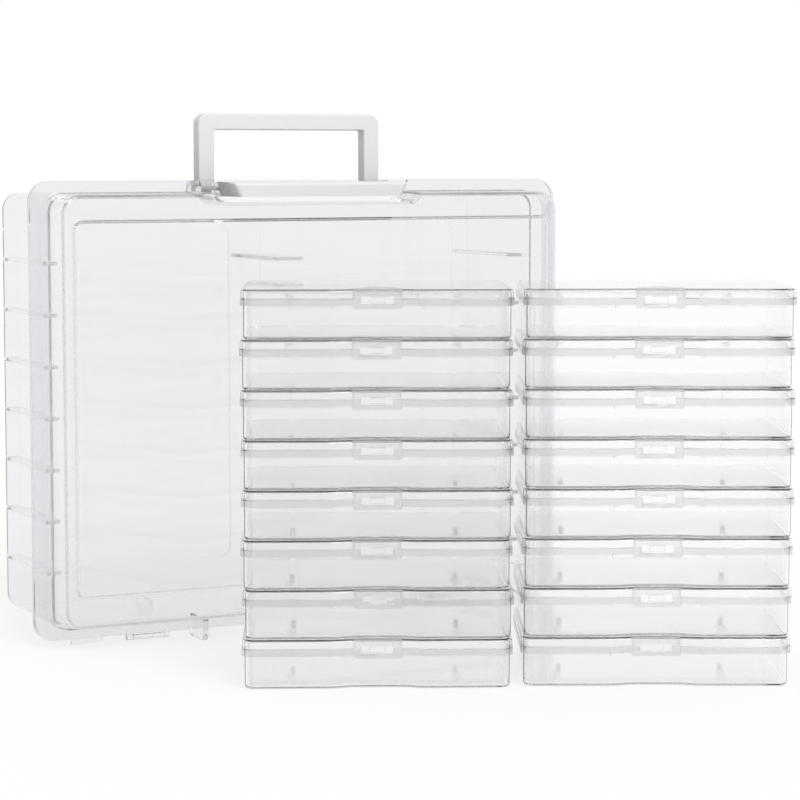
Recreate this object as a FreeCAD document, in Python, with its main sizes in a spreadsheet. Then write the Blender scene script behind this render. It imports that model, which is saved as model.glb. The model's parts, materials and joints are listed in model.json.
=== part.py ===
import FreeCAD, Part
import math
import os
import Sketcher

# Photo keeper set: an upright carrying case of clear polypropylene with a hinged front lid, a white
# latch and a white handle, and sixteen small clear photo cases in two stacks of eight before it.
# Millimetres and degrees. +X is right, +Y is away from the viewer, +Z is up, the ground is z = 0.
# The carrying case is drawn in its own frame: x across, y away from the back of its flange, z up.
# A photo case is drawn in its own frame: x across, y away from its front wall, z up from its base.

SIZES = (
    # Places of the carrying case and of the right stack, from the front middle of the left stack
    ("case_across", -54.7, "carrying case, sideways"),
    ("case_behind", 225.2, "carrying case, backwards"),
    ("case_turn", 26.7, "carrying case, turn about the upright in degrees"),
    ("left_turn", 1.7, "left stack, turn about the upright in degrees"),
    ("right_across", 173.4, "right stack, sideways"),
    ("right_behind", 7.7, "right stack, backwards"),
    ("stack_wander", 0.6, "largest sideways slip of one photo case on the next"),
    # Flanges of the carrying case, where its body and its lid meet
    ("flange_width", 397, "outside width of both flanges"),
    ("flange_height", 307.3, "outside height of both flanges"),
    ("flange_corner", 16, "outside corner radius"),
    ("flange_thickness", 2.5, "thickness of each flange"),
    ("flange_lift", 4.2, "lower edge above the ground"),
    ("parting_gap", 0.3, "gap between the two flanges"),
    # Body of the carrying case
    ("body_depth", 101.5, "back of the flange to the back wall"),
    ("body_side_step", 15.1, "flange edge to side wall"),
    ("body_top_step", 8.9, "flange edge to top wall"),
    ("body_bottom_step", 5.4, "flange edge to bottom wall"),
    ("body_wall", 2, "wall thickness"),
    ("body_corner", 12, "corner radius of the four walls"),
    ("body_back_edge", 2, "bevel round the back wall"),
    ("divider_thickness", 2.5, "upright wall between the two columns"),
    ("divider_front", 30, "front edge of the divider behind the flange"),
    ("shelf_count", 7, "shelves on each wall, for eight photo cases"),
    ("shelf_first", 45.9, "underside of the lowest shelf above the ground"),
    ("shelf_pitch", 34.9, "shelf to shelf"),
    ("shelf_thickness", 2.2, "shelf thickness"),
    ("shelf_reach", 10, "shelf beyond the divider's face"),
    ("shelf_front", 11, "front end of a shelf behind the flange"),
    ("panel_groove", 0.6, "depth of the pressed panels in the back wall"),
    ("panel_side", 12.5, "pressed panel to the middle and to the side wall"),
    ("panel_low", 36, "lower edge of a pressed panel above the ground"),
    ("panel_high", 279, "upper edge of a pressed panel above the ground"),
    ("panel_round", 8, "corner radius of a pressed panel"),
    ("foot_across", 86, "feet, from the middle of the case"),
    ("foot_width", 4, "thickness of a foot"),
    ("foot_round", 4, "rounding under a foot"),
    ("rear_foot_front", 72, "front end of a rear foot behind the flange"),
    ("rear_foot_back", 96, "back end of a rear foot behind the flange"),
    # Front lid of the carrying case
    ("lid_depth", 32.2, "front panel before the back of the flanges"),
    ("lid_wall", 2, "wall thickness"),
    ("lid_side_step", 8.5, "flange edge to side wall, at the flange"),
    ("lid_top_step", 8.2, "flange edge to top wall, at the flange"),
    ("lid_bottom_step", 8.2, "flange edge to bottom wall, at the flange"),
    ("lid_corner", 13, "corner radius of the lid's walls, at the flange"),
    ("front_corner", 9, "corner radius of the front panel"),
    ("front_side_step", 12.9, "flange edge to side edge of the front panel"),
    ("front_top_step", 8.8, "flange edge to top edge of the front panel"),
    ("front_bottom_step", 11.1, "flange edge to bottom edge of the front panel"),
    ("front_bevel", 1, "bevel round the front panel"),
    ("field_rise", 3.5, "raised field before the front panel"),
    ("field_side_step", 6.1, "front panel's edge to raised field, at the sides"),
    ("field_top_step", 16.5, "front panel's edge to raised field, at the top"),
    ("field_bottom_step", 20.2, "front panel's edge to raised field, at the bottom"),
    ("field_corner", 5, "corner radius of the raised field"),
    ("bay_half", 73, "half width of the latch bay at its floor"),
    ("bay_mouth_half", 80, "half width of the latch bay at the flange's edge"),
    ("bay_drop", 14.7, "flange's upper edge to the floor of the latch bay"),
    ("bay_rim_step", 9.2, "flange's upper edge to the upper edge of the bay's walls"),
    ("front_foot_back", 6, "back end of a front foot before the flange's back"),
    ("front_foot_front", 31, "front end of a front foot before the flange's back"),
    # Hinges between body and lid
    ("hinge_radius", 1.9, "radius of the barrels"),
    ("hinge_pin", 1, "radius of the pins"),
    ("hinge_pin_reach", 3.4, "length of a pin beyond its barrel"),
    ("hinge_fit", 0.06, "play round the pins"),
    ("hinge_inner", 106, "inner end of a lid barrel from the middle"),
    ("hinge_outer", 128.5, "outer end of a lid barrel from the middle"),
    ("hinge_knuckle", 4, "length of a body knuckle"),
    ("hinge_side_gap", 0.4, "gap between barrel and knuckle"),
    ("corner_foot_inner", 150, "inner end of a foot under the body's flange"),
    ("corner_foot_outer", 172, "outer end of a foot under the body's flange"),
    # Latch, on the lid
    ("latch_half", 66, "half width at its top"),
    ("latch_low_half", 61, "half width at its lower edge"),
    ("latch_wall", 2.2, "wall thickness"),
    ("latch_top_step", 0.9, "its top below the flange's upper edge"),
    ("latch_height", 9.9, "its height"),
    ("latch_front", 36, "front face before the flange's back"),
    ("latch_back", 3, "rear face before the flange's back"),
    ("latch_round", 4.2, "pivot to rear face and to top"),
    ("latch_front_round", 3, "rounding of the upper front edge"),
    ("latch_pin", 1.6, "radius of its pins"),
    ("latch_ear_width", 3, "thickness of an ear that holds a pin"),
    ("latch_ear_reach", 4, "ear before the pivot"),
    ("latch_ear_rise", 3.4, "ear above the pivot"),
    # Brackets behind the flange that carry the handle
    ("bracket_width", 4.5, "thickness of a bracket"),
    ("bracket_front", 14, "front end behind the flange"),
    ("bracket_back", 32, "back end behind the flange"),
    ("bracket_back_corner", 6, "cut rear corner of a bracket"),
    ("bracket_top_step", 0.4, "bracket below the flange's upper edge"),
    ("bracket_gap", 0.4, "gap beside latch and handle"),
    # Handle
    ("handle_half", 68.8, "half width"),
    ("handle_rise", 45.8, "top above the flange's upper edge"),
    ("handle_bar", 11.3, "height of the grip"),
    ("handle_leg", 11.5, "width of a leg"),
    ("handle_depth", 10.5, "depth"),
    ("handle_corner", 7, "outer corner radius"),
    ("handle_axis_back", 23.3, "pivot behind the flange's back"),
    ("handle_axis_drop", 3.2, "pivot below the flange's upper edge"),
    ("handle_pin", 1.8, "radius of the pins"),
    ("handle_pin_reach", 4, "length of a pin of the handle"),
    ("pin_fit", 0.06, "play round the pins of latch and handle"),
    # Photo cases
    ("tray_width", 164.4, "outside width of a tray"),
    ("tray_depth", 116, "outside depth of a tray"),
    ("photo_height", 30.9, "height of a closed photo case"),
    ("tray_wall", 1.5, "wall and floor of a tray"),
    ("tray_corner", 6, "corner radius of a tray"),
    ("tray_edge", 2.4, "bevel under a tray"),
    ("dent_depth", 4, "depth of the dent in the front wall"),
    ("dent_half", 15.8, "half width of the dent at its back"),
    ("dent_mouth_half", 25.5, "half width of the dent at the front"),
    ("cap_thickness", 1.3, "top of a photo lid"),
    ("cap_wall", 1.1, "skirt of a photo lid"),
    ("cap_gap", 0.8, "gap between skirt and tray"),
    ("cap_seat", 0.3, "gap between the tray's rim and the lid"),
    ("cap_skirt", 10.2, "height of the skirt"),
    ("tab_half", 15.2, "half width of the closing tab"),
    ("tab_height", 12.7, "height of the closing tab"),
    ("tab_rise", 0.6, "closing tab above the lid"),
    ("tab_thickness", 1.2, "thickness of the closing tab"),
    ("tab_front", 0.4, "front of the tab behind the tray's front wall"),
    ("window_half", 10, "half width of the window in the tab"),
    ("window_height", 5, "height of the window"),
    ("window_drop", 4.3, "window's upper edge below the top of the lid"),
    ("catch_half", 5, "half width of the catch on the tray"),
    ("catch_height", 4.2, "height of the catch"),
    ("catch_gap", 0.8, "gap between catch and tab"),
    ("ear_across", 55, "outer face of a hinge ear from the middle"),
    ("ear_width", 3, "thickness of a hinge ear"),
    ("ear_half", 1.5, "half height of a hinge ear"),
    ("ear_back", 3.2, "hinge axis behind the tray's back wall"),
    ("ear_drop", 2.1, "hinge axis below the skirt"),
    ("peg_radius", 0.8, "radius of a hinge peg"),
    ("peg_length", 2.7, "length of a hinge peg"),
    ("peg_fit", 0.05, "play round a hinge peg"),
    ("lug_half", 2, "half width of the lug round a peg"),
    ("lug_width", 2.4, "thickness of a lug"),
    ("lug_gap", 0.3, "gap between lug and ear"),
    ("lug_rise", 4, "lug above the skirt's lower edge"),
    ("overrun", 1, "how far a cut runs past the face that it opens"),
)

# Sideways place of each photo case in its stack, from the bottom up, as shares of stack_wander.
LEFT_SLIP_SHARES = (0.0, 1.0, -0.6, 0.4, 0.2, -0.4, -0.8, 0.3)
RIGHT_SLIP_SHARES = (-1.0, -0.7, 0.0, 0.9, 0.3, 0.5, -0.4, 0.8)

# What repeats many times has few faces: how many straight sides a peg has, and how many a quarter
# turn has outside a photo case, inside it, and on the tapered walls of the case lid.
PEG_SIDES = 8
CORNER_SIDES = 3
INNER_SIDES = 2
LID_SIDES = 5
# Two points nearer than this share of a size count as the same.
NEAR_SHARE = 0.001

doc = FreeCAD.newDocument("photo_keeper_set")
sheet = doc.addObject("Spreadsheet::Sheet", "Sizes")
middle = doc.addObject("Spreadsheet::Sheet", "Middle")


class Size:
    """A length as the number that it is now and as the sheet formula that keeps it so."""

    def __init__(self, text, number):
        self.text = text
        self.number = number

    def __add__(self, other):
        return Size(f"({self.text} + {other.text})", self.number + other.number)

    def __sub__(self, other):
        return Size(f"({self.text} - {other.text})", self.number - other.number)

    def __mul__(self, factor):
        return Size(f"({self.text} * {factor})", self.number * factor)

    def __truediv__(self, factor):
        return Size(f"({self.text} / {factor})", self.number / factor)

    def __neg__(self):
        return Size(f"(-{self.text})", -self.number)


ZERO = Size("0", 0.0)
size = {}
for row, (name, number, note) in enumerate(SIZES, start=1):
    sheet.set(f"A{row}", note)
    sheet.set(f"B{row}", str(number))
    sheet.setAlias(f"B{row}", name)
    size[name] = Size(f"Sizes.{name}", float(number))
# The middle of the whole footprint, measured below. It has a sheet of its own, so that setting it
# moves the pieces and rebuilds none.
for cell, name in (("A1", "across"), ("A2", "behind")):
    middle.set(cell, "0")
    middle.setAlias(cell, name)
doc.recompute()
middle_across = Size("Middle.across", 0.0)
middle_behind = Size("Middle.behind", 0.0)


def new_body(label):
    body = doc.addObject("PartDesign::Body", label)
    body.Label = label
    return body


def plane(body, role):
    for feature in body.Origin.OriginFeatures:
        if feature.Role == role:
            return feature
    raise RuntimeError(f"{body.Label} has no {role}")


def new_sketch(body, name, role, lift=None):
    """An empty sketch on a plane of the body's origin, moved by lift along the plane's normal."""
    sketch = body.newObject("Sketcher::SketchObject", name)
    sketch.AttachmentSupport = (plane(body, role), [""])
    sketch.MapMode = "FlatFace"
    if lift is not None:
        sketch.setExpression("AttachmentOffset.Base.z", lift.text)
        sketch.AttachmentOffset.Base = FreeCAD.Vector(0, 0, lift.number)
    return sketch


def fix(sketch, kind, first, first_end, second, second_end, length):
    """A driving dimension of the sketch, bound to the sheet."""
    row = sketch.addConstraint(
        Sketcher.Constraint(kind, first, first_end, second, second_end, length.number)
    )
    sketch.setExpression(f"Constraints[{row}]", length.text)


def place_point(sketch, edge, end, across, along):
    """Puts a point of an edge at its distances from the sketch's origin."""
    for kind, axis, length in (("DistanceX", -2, across), ("DistanceY", -1, along)):
        if length is ZERO:
            sketch.addConstraint(Sketcher.Constraint("PointOnObject", edge, end, axis))
        else:
            fix(sketch, kind, -1, 1, edge, end, length)


def add_polygon(sketch, points, bend=None):
    """A closed outline of straight sides through points given as pairs of sizes. With bend, the
    middle and radius of a circle, the side back to the first point is an arc of that circle."""
    corners = [FreeCAD.Vector(across.number, along.number, 0) for across, along in points]
    first = sketch.GeometryCount
    last = first + len(points) - 1
    for start, end in zip(corners[:-1], corners[1:]):
        sketch.addGeometry(Part.LineSegment(start, end), False)
    closing = Part.LineSegment(corners[-1], corners[0])
    if bend is not None:
        (across, along), radius = bend
        middle = FreeCAD.Vector(across.number, along.number, 0)
        toward = (corners[-1] + corners[0]) / 2 - middle
        closing = Part.Arc(corners[-1], middle + toward.normalize() * radius.number, corners[0])
    sketch.addGeometry(closing, False)
    for edge in range(first, last + 1):
        following = first if edge == last else edge + 1
        sketch.addConstraint(Sketcher.Constraint("Coincident", edge, 2, following, 1))
    for edge, (across, along) in enumerate(points, start=first):
        place_point(sketch, edge, 1, across, along)
    if bend is not None:
        row = sketch.addConstraint(Sketcher.Constraint("Radius", last, radius.number))
        sketch.setExpression(f"Constraints[{row}]", radius.text)


def add_box(sketch, left, low, right, high):
    add_polygon(sketch, [(left, low), (right, low), (right, high), (left, high)])


def add_rounded_box(sketch, left, low, right, high, radius):
    """A rectangle whose corners are quarter circles of one radius."""
    first = sketch.GeometryCount
    x0, x1, z0, z1 = left.number, right.number, low.number, high.number
    turn = radius.number
    ends = (
        ((x0 + turn, z0), (x1 - turn, z0)),
        ((x1, z0 + turn), (x1, z1 - turn)),
        ((x1 - turn, z1), (x0 + turn, z1)),
        ((x0, z1 - turn), (x0, z0 + turn)),
    )
    middles = ((x1 - turn, z0 + turn), (x1 - turn, z1 - turn), (x0 + turn, z1 - turn), (x0 + turn, z0 + turn))
    quarter = math.pi / 2
    for number, (side, middle) in enumerate(zip(ends, middles)):
        start, end = (FreeCAD.Vector(*point, 0) for point in side)
        sketch.addGeometry(Part.LineSegment(start, end), False)
        circle = Part.Circle(FreeCAD.Vector(*middle, 0), FreeCAD.Vector(0, 0, 1), turn)
        angle = (number - 1) * quarter
        sketch.addGeometry(Part.ArcOfCircle(circle, angle, angle + quarter), False)
    for number in range(4):
        line = first + 2 * number
        arc = line + 1
        following = first + (2 * number + 2) % 8
        sketch.addConstraint(Sketcher.Constraint("Tangent", line, 2, arc, 1))
        sketch.addConstraint(Sketcher.Constraint("Tangent", arc, 2, following, 1))
        level = "Horizontal" if number % 2 == 0 else "Vertical"
        sketch.addConstraint(Sketcher.Constraint(level, line))
        if number:
            sketch.addConstraint(Sketcher.Constraint("Equal", first + 1, arc))
    row = sketch.addConstraint(Sketcher.Constraint("Radius", first + 1, turn))
    sketch.setExpression(f"Constraints[{row}]", radius.text)
    fix(sketch, "DistanceY", -1, 1, first, 1, low)
    fix(sketch, "DistanceX", -1, 1, first + 2, 1, right)
    fix(sketch, "DistanceY", -1, 1, first + 4, 1, high)
    fix(sketch, "DistanceX", -1, 1, first + 6, 1, left)


def corner_points(middle, radius, sides, first):
    """Points of a quarter turn round middle, from the direction of first quarters on."""
    points = []
    for number in range(sides + 1):
        angle = (first + number / sides) * math.pi / 2
        across = middle[0] + radius * round(math.cos(angle), 6)
        points.append((across, middle[1] + radius * round(math.sin(angle), 6)))
    return points


def box_outline(half, low, high, radius, sides, dent=()):
    """A box whose corners have a few sides, with dent as points of its low edge."""
    right, left = half - radius, radius - half
    outline = corner_points((right, high - radius), radius, sides, 0)
    outline += corner_points((left, high - radius), radius, sides, 1)
    outline += corner_points((left, low + radius), radius, sides, 2)
    outline += dent
    return outline + corner_points((right, low + radius), radius, sides, 3)


def cut_box(left, low, right, high, cut):
    """A box with cut corners."""
    outline = [(left + cut, low), (right - cut, low), (right, low + cut), (right, high - cut)]
    return outline + [(right - cut, high), (left + cut, high), (left, high - cut), (left, low + cut)]


def peg_points(middle, radius):
    points = []
    for number in range(PEG_SIDES):
        angle = 2 * math.pi * number / PEG_SIDES
        across = middle[0] + radius * round(math.cos(angle), 6)
        points.append((across, middle[1] + radius * round(math.sin(angle), 6)))
    return points


def add_peg(sketch, middle, radius):
    """A peg's outline: flats between points on its circle, but for one side that is round."""
    add_polygon(sketch, peg_points(middle, radius), bend=(middle, radius))


def add_bore(sketch, middle, radius):
    """A hole whose flats lie radius from its middle, so that a peg turns freely in it."""
    add_polygon(sketch, peg_points(middle, radius * (1 / math.cos(math.pi / PEG_SIDES))))


def add_circle(sketch, across, along, radius):
    middle = FreeCAD.Vector(across.number, along.number, 0)
    edge = sketch.addGeometry(Part.Circle(middle, FreeCAD.Vector(0, 0, 1), radius.number), False)
    row = sketch.addConstraint(Sketcher.Constraint("Radius", edge, radius.number))
    sketch.setExpression(f"Constraints[{row}]", radius.text)
    place_point(sketch, edge, 3, across, along)


def pad(body, sketch, length, backwards=False, draft=None):
    """Extrudes the sketch along its normal, or the other way."""
    feature = body.newObject("PartDesign::Pad", f"{sketch.Name}_pad")
    feature.Profile = sketch
    feature.Reversed = backwards
    feature.Length = length.number
    feature.setExpression("Length", length.text)
    if draft is not None:
        feature.TaperAngle = draft.number
        feature.setExpression("TaperAngle", draft.text)
    doc.recompute()
    return feature


def pocket(body, sketch, length, backwards=False, draft=None):
    """Cuts the sketch out of the body and refuses a cut that misses it."""
    before = body.Shape.Volume
    feature = body.newObject("PartDesign::Pocket", f"{sketch.Name}_pocket")
    feature.Profile = sketch
    feature.Reversed = backwards
    feature.Length = length.number
    feature.setExpression("Length", length.text)
    if draft is not None:
        feature.TaperAngle = draft.number
        feature.setExpression("TaperAngle", draft.text)
    doc.recompute()
    if not body.Shape.Volume < before:
        raise RuntimeError(f"{feature.Name} cuts nothing")
    return feature


def loft(body, kind, name, sketches):
    """A solid, or a cut, whose sides run straight from one sketch to the next."""
    feature = body.newObject(f"PartDesign::{kind}Loft", name)
    feature.Profile = sketches[0]
    feature.Sections = sketches[1:]
    feature.Ruled = True
    doc.recompute()
    return feature


def edge_box(edge):
    """The box round an edge's ends. A curved edge's own box may be far too wide."""
    box = FreeCAD.BoundBox()
    for vertex in edge.Vertexes:
        box.add(vertex.Point)
    return box


def edges_where(feature, wanted):
    return [f"Edge{n}" for n, edge in enumerate(feature.Shape.Edges, start=1) if wanted(edge_box(edge))]


def round_edges(body, name, feature, wanted, radius):
    fillet = body.newObject("PartDesign::Fillet", name)
    fillet.Base = (feature, edges_where(feature, wanted))
    fillet.Radius = radius.number
    fillet.setExpression("Radius", radius.text)
    doc.recompute()
    return fillet


def bevel_edges(body, name, feature, wanted, width):
    chamfer = body.newObject("PartDesign::Chamfer", name)
    chamfer.Base = (feature, edges_where(feature, wanted))
    chamfer.Size = width.number
    chamfer.setExpression("Size", width.text)
    doc.recompute()
    return chamfer


def mirror(body, name, features):
    """Repeats features on the other side of the body's middle."""
    feature = body.newObject("PartDesign::Mirrored", name)
    feature.Originals = features
    feature.MirrorPlane = (plane(body, "YZ_Plane"), [""])
    body.Tip = feature
    doc.recompute()
    return feature


def put(piece, across, behind, up, turn):
    """Binds where a piece stands in the set."""
    piece.setExpression("Placement.Base.x", across.text)
    piece.setExpression("Placement.Base.y", behind.text)
    piece.setExpression("Placement.Base.z", up.text)
    piece.setExpression("Placement.Rotation.Angle", turn.text)


# Heights and places of the carrying case that several of its pieces share
flange_half = size["flange_width"] / 2
flange_low = size["flange_lift"]
flange_high = size["flange_lift"] + size["flange_height"]
body_half = flange_half - size["body_side_step"]
body_low = flange_low + size["body_bottom_step"]
body_high = flange_high - size["body_top_step"]
parting = size["flange_thickness"] + size["parting_gap"]
flanges_front = parting + size["flange_thickness"]
bay_floor = flange_high - size["bay_drop"]
hinge_height = size["hinge_radius"]
hinge_front = size["flange_thickness"] + size["parting_gap"] / 2
latch_height = flange_high - size["latch_top_step"] - size["latch_round"]
latch_front = -(size["latch_back"] + size["latch_round"])
handle_height = flange_high - size["handle_axis_drop"]
case_across = size["case_across"] - middle_across
case_behind = size["case_behind"] - middle_behind
left_across = -middle_across
left_behind = -middle_behind
right_across = size["right_across"] - middle_across
right_behind = size["right_behind"] - middle_behind


def add_feet(body, name, front, back, front_top, back_top):
    """Two upright ribs under the case, with cut lower corners, that stand on the ground."""
    sketch = new_sketch(body, name, "YZ_Plane", size["foot_across"] - size["foot_width"] / 2)
    cut = size["foot_round"]
    outline = [(front, cut), (front + cut / 4, cut / 4), (front + cut, ZERO)]
    outline += [(back - cut, ZERO), (back - cut / 4, cut / 4), (back, cut)]
    add_polygon(sketch, outline + [(back, back_top), (front, front_top)])
    return mirror(body, f"{name}_pair", [pad(body, sketch, size["foot_width"])])


def build_body():
    """Deep rear half: four drafted walls, a back wall, shelves, a divider and a flange."""
    body = new_body("case_body")
    outline = new_sketch(body, "body_outline", "XZ_Plane")
    add_rounded_box(outline, -body_half, body_low, body_half, body_high, size["body_corner"])
    block = pad(body, outline, size["body_depth"], backwards=True)
    rear = size["body_depth"].number * (1 - NEAR_SHARE)
    bevel_edges(body, "body_back_edges", block, lambda box: box.YMin > rear, size["body_back_edge"])

    inner_half = body_half - size["body_wall"]
    inner_low = body_low + size["body_wall"]
    inner_high = body_high - size["body_wall"]
    inner_corner = size["body_corner"] - size["body_wall"]
    rim = new_sketch(body, "body_flange", "XZ_Plane")
    add_rounded_box(rim, -flange_half, flange_low, flange_half, flange_high, size["flange_corner"])
    pad(body, rim, size["flange_thickness"])
    hollow = new_sketch(body, "body_hollow", "XZ_Plane", size["flange_thickness"])
    add_rounded_box(hollow, -inner_half, inner_low, inner_half, inner_high, inner_corner)
    inside = size["body_depth"] + size["flange_thickness"] - size["body_wall"]
    pocket(body, hollow, inside)

    inside_back = size["body_depth"] - size["body_wall"] / 2
    wall = new_sketch(body, "divider", "XY_Plane", body_low + size["body_wall"] / 2)
    half = size["divider_thickness"] / 2
    add_box(wall, -half, size["divider_front"], half, inside_back)
    pad(body, wall, body_high - body_low - size["body_wall"])

    shelves = new_sketch(body, "shelf", "XY_Plane", size["shelf_first"])
    root = body_half - size["body_wall"] * 0.75
    tip = root - size["body_wall"] * 0.25 - size["shelf_reach"]
    reach = half + size["shelf_reach"]
    add_box(shelves, -root, size["shelf_front"], -tip, inside_back)
    add_box(shelves, tip, size["shelf_front"], root, inside_back)
    add_box(shelves, -reach, size["divider_front"] - size["shelf_front"], reach, inside_back)
    shelf = pad(body, shelves, size["shelf_thickness"])
    row = body.newObject("PartDesign::LinearPattern", "shelf_row")
    row.Originals = [shelf]
    row.Direction = (shelves, ["N_Axis"])
    row.Length = size["shelf_pitch"].number * (size["shelf_count"].number - 1)
    row.setExpression("Length", "Sizes.shelf_pitch * (Sizes.shelf_count - 1)")
    row.Occurrences = int(size["shelf_count"].number)
    row.setExpression("Occurrences", size["shelf_count"].text)
    body.Tip = row
    doc.recompute()

    panels = new_sketch(body, "back_panels", "XZ_Plane", -size["body_depth"])
    low, high, turn = size["panel_low"], size["panel_high"], size["panel_round"]
    near, far = size["panel_side"], body_half - size["panel_side"]
    add_polygon(panels, cut_box(-far, low, -near, high, turn))
    add_polygon(panels, cut_box(near, low, far, high, turn))
    pocket(body, panels, size["panel_groove"], backwards=True)

    bracket = new_sketch(body, "bracket", "YZ_Plane", size["handle_half"] + size["bracket_gap"])
    top = flange_high - size["bracket_top_step"]
    foot = body_high - size["body_wall"] / 2
    front, back = size["bracket_front"], size["bracket_back"]
    corner = size["bracket_back_corner"]
    rear_corner = [(back, top - corner / 2), (back - corner / 2, top)]
    add_polygon(bracket, [(front, foot), (back, foot), *rear_corner, (front, top)])
    add_bore(bracket, (size["handle_axis_back"], handle_height), size["handle_pin"] + size["pin_fit"])
    mirror(body, "brackets", [pad(body, bracket, size["bracket_width"])])

    feet_top = body_low + size["body_wall"] / 2
    add_feet(body, "rear_feet", size["rear_foot_front"], size["rear_foot_back"], feet_top, feet_top)
    corner_foot = new_sketch(body, "corner_foot", "XZ_Plane")
    inner, outer = size["corner_foot_inner"], size["corner_foot_outer"]
    foot_top = flange_low + size["flange_thickness"]
    add_box(corner_foot, inner, ZERO, outer, foot_top)
    mirror(body, "corner_feet", [pad(body, corner_foot, size["flange_thickness"])])

    inner_start = size["hinge_inner"] - size["hinge_side_gap"] - size["hinge_knuckle"]
    outer_start = size["hinge_outer"] + size["hinge_side_gap"]
    knuckles = []
    for name, start in (("inner", inner_start), ("outer", outer_start)):
        knuckle = new_sketch(body, f"{name}_knuckle", "YZ_Plane", start)
        add_peg(knuckle, (-hinge_front, hinge_height), size["hinge_radius"])
        knuckles.append(pad(body, knuckle, size["hinge_knuckle"]))
        web = new_sketch(body, f"{name}_knuckle_web", "YZ_Plane", start)
        add_box(web, -size["flange_thickness"], hinge_height, ZERO, foot_top)
        knuckles.append(pad(body, web, size["hinge_knuckle"]))
    bore = new_sketch(body, "hinge_bore", "YZ_Plane", inner_start - size["overrun"])
    add_bore(bore, (-hinge_front, hinge_height), size["hinge_pin"] + size["hinge_fit"])
    whole = outer_start + size["hinge_knuckle"] - inner_start + size["overrun"] * 2
    knuckles.append(pocket(body, bore, whole, backwards=True))
    mirror(body, "hinge_sides", knuckles)
    return body


def build_lid():
    """Shallow front half: a dished lid with a raised field, a bay for the latch and a flange."""
    body = new_body("case_lid")
    rim = new_sketch(body, "lid_flange", "XZ_Plane", parting)
    add_rounded_box(rim, -flange_half, flange_low, flange_half, flange_high, size["flange_corner"])
    pad(body, rim, size["flange_thickness"])

    wall = size["lid_wall"]
    near = wall.number * NEAR_SHARE
    wall_half = flange_half - size["lid_side_step"]
    wall_low = flange_low + size["lid_bottom_step"]
    wall_high = flange_high - size["lid_top_step"]
    front_half = flange_half - size["front_side_step"]
    front_low = flange_low + size["front_bottom_step"]
    front_high = flange_high - size["front_top_step"]
    root = new_sketch(body, "lid_root", "XZ_Plane", flanges_front - size["flange_thickness"] / 2)
    root_turn, front_turn = size["lid_corner"], size["front_corner"]
    add_polygon(root, box_outline(wall_half, wall_low, wall_high, root_turn, LID_SIDES))
    front = new_sketch(body, "lid_front", "XZ_Plane", size["lid_depth"])
    add_polygon(front, box_outline(front_half, front_low, front_high, front_turn, LID_SIDES))
    walls = loft(body, "Additive", "lid_walls", [root, front])
    ahead = near - size["lid_depth"].number
    bevel_edges(body, "lid_front_edges", walls, lambda box: box.YMax < ahead, size["front_bevel"])

    field_half = front_half - size["field_side_step"]
    field_low = front_low + size["field_bottom_step"]
    field_high = front_high - size["field_top_step"]
    field = new_sketch(body, "field", "XZ_Plane", size["lid_depth"] - wall / 2)
    add_rounded_box(field, -field_half, field_low, field_half, field_high, size["field_corner"])
    pad(body, field, size["field_rise"] + wall / 2)

    mouth = new_sketch(body, "lid_mouth", "XZ_Plane", parting)
    far, low, high = wall_half - wall, wall_low + wall, wall_high - wall
    add_polygon(mouth, box_outline(far, low, high, root_turn - wall, LID_SIDES))
    inside = new_sketch(body, "lid_inside", "XZ_Plane", size["lid_depth"] - wall)
    far, low, high = front_half - wall, front_low + wall, front_high - wall
    add_polygon(inside, box_outline(far, low, high, front_turn - wall, LID_SIDES))
    loft(body, "Subtractive", "lid_hollow", [mouth, inside])
    hollow = new_sketch(body, "field_hollow", "XZ_Plane", size["lid_depth"] - wall)
    far, low, high = field_half - wall, field_low + wall, field_high - wall
    add_rounded_box(hollow, -far, low, far, high, size["field_corner"] - wall)
    pocket(body, hollow, size["field_rise"], backwards=True)

    lining = new_sketch(body, "bay_lining", "XZ_Plane", parting)
    top = flange_high - size["bay_rim_step"]
    far = size["bay_half"] + wall
    add_polygon(
        lining,
        [
            (-far, bay_floor - wall),
            (far, bay_floor - wall),
            (size["bay_mouth_half"], top),
            (-size["bay_mouth_half"], top),
        ],
    )
    pad(body, lining, size["lid_depth"] - parting - wall / 2)
    bay = new_sketch(body, "latch_bay", "XZ_Plane")
    add_polygon(
        bay,
        [
            (-size["bay_half"], bay_floor),
            (size["bay_half"], bay_floor),
            (size["bay_mouth_half"], flange_high),
            (size["bay_mouth_half"], flange_high + size["overrun"]),
            (-size["bay_mouth_half"], flange_high + size["overrun"]),
            (-size["bay_mouth_half"], flange_high),
        ],
    )
    pocket(body, bay, size["lid_depth"] + size["field_rise"], backwards=True)

    ear = new_sketch(body, "latch_ear", "YZ_Plane", size["latch_half"] + size["bracket_gap"])
    front, back = latch_front - size["latch_ear_reach"], -parting
    top = latch_height + size["latch_ear_rise"]
    add_box(ear, front, bay_floor - wall / 2, back, top)
    add_bore(ear, (latch_front, latch_height), size["latch_pin"] + size["pin_fit"])
    mirror(body, "latch_ears", [pad(body, ear, size["latch_ear_width"])])

    front_foot = (-size["front_foot_front"], -size["front_foot_back"])
    tops = (front_low + wall / 2, wall_low + wall / 2)
    add_feet(body, "front_feet", *front_foot, *tops)

    sides = []
    barrel = new_sketch(body, "barrel", "YZ_Plane", size["hinge_inner"])
    add_circle(barrel, -hinge_front, hinge_height, size["hinge_radius"])
    length = size["hinge_outer"] - size["hinge_inner"]
    sides.append(pad(body, barrel, length))
    web = new_sketch(body, "barrel_web", "YZ_Plane", size["hinge_inner"])
    add_box(web, -flanges_front, hinge_height, -parting, flange_low + size["flange_thickness"])
    sides.append(pad(body, web, length))
    reach = size["hinge_pin_reach"]
    pin = new_sketch(body, "barrel_pin", "YZ_Plane", size["hinge_inner"] - reach)
    add_peg(pin, (-hinge_front, hinge_height), size["hinge_pin"])
    sides.append(pad(body, pin, length + reach * 2))
    mirror(body, "barrels", sides)
    return body


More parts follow.
